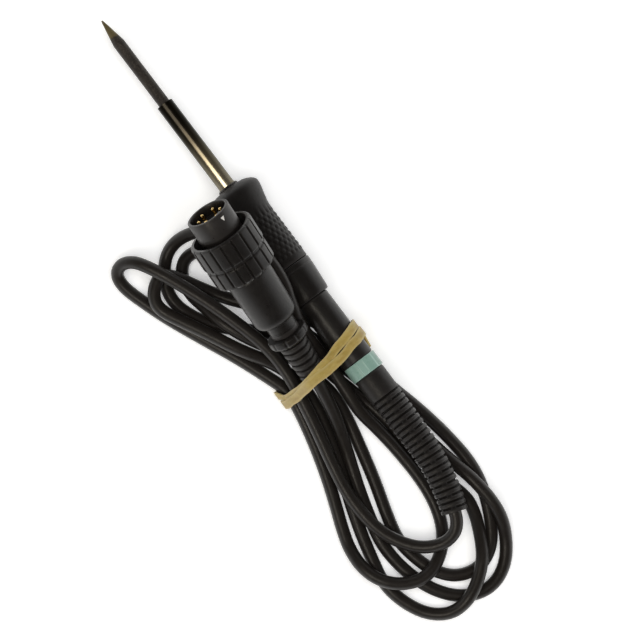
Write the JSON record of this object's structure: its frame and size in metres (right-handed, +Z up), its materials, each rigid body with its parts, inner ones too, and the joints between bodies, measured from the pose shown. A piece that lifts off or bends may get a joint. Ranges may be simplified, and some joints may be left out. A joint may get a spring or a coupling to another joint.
{
  "type": "soldering iron handpiece",
  "caption": "Slim handpiece with a pointed tip, steel barrel, flanged soft grip and ribbed boot; its limp cord is coiled back under a rubber band with a round threaded plug.",
  "frame": {"origin": "under the middle of the handpiece's box, on the surface it lies on; the cord, plug and band are not counted", "axes": "+X from the tip towards the cord boot, +Z up, +Y to the side away from the coil"},
  "size_m": [0.2372, 0.064, 0.0507],
  "materials": {
    "tip_metal": "dark plated steel",
    "steel": "brushed",
    "dark_steel": "blackened",
    "ceramic": "fired alumina",
    "copper_lead": "drawn",
    "winding": "oxidised",
    "grip_rubber": "soft matt",
    "black_plastic": "satin",
    "ring_plastic": "glossy pale green-blue",
    "boot_rubber": "satin",
    "board": "laminate",
    "gold": "gold plated",
    "plug_plastic": "satin",
    "cord_silicone": "satin silicone",
    "band_rubber": "translucent latex"
  },
  "bodies": {
    "handpiece": {"heater_core": "ceramic", "heater_winding": "winding", "temperature_sensor": "steel", "ceramic_bush": "ceramic", "earth_spring_washer": "steel", "front_insert": "black_plastic", "grip_sleeve": "grip_rubber", "grip_collar": "black_plastic", "handle_tube": "black_plastic", "id_ring": "ring_plastic", "cord_boot": "boot_rubber", "terminal_board": "board", "terminal_tags": "gold", "lead_wires": "copper_lead", "cord_jacket_end": "cord_silicone", "cord_clamp": "steel", "plug_shell": "plug_plastic", "pin_insulator": "plug_plastic", "contact_pins": "gold", "plug_seal": "boot_rubber", "retaining_clip": "steel", "backshell": "plug_plastic", "crimp_sleeve": "steel", "cord_nut": "plug_plastic", "plug_boot": "boot_rubber", "plug_cord_end": "cord_silicone", "cord": "cord_silicone", "rubber_band": "band_rubber"},
    "barrel": {"barrel_tube": "steel", "soldering_tip": "tip_metal"},
    "nut": {"barrel_nut": "dark_steel"},
    "coupling": {"coupling_ring": "plug_plastic"}
  },
  "joints": [
    {"name": "barrel_pull", "type": "slide", "parent": "handpiece", "child": "barrel", "axis": [-0.9997, 0, -0.0262], "range_m": [0, 0.085]},
    {"name": "nut_turn", "type": "hinge", "parent": "barrel", "child": "nut", "pos_m": [-0.02897, 0, 0.00979], "axis": [-0.9997, 0, -0.0262], "continuous": true},
    {"name": "coupling_turn", "type": "hinge", "parent": "handpiece", "child": "coupling", "pos_m": [-0.01331, -0.01153, 0.03696], "axis": [-0.9184, 0.0646, 0.3903], "continuous": true}
  ]
}
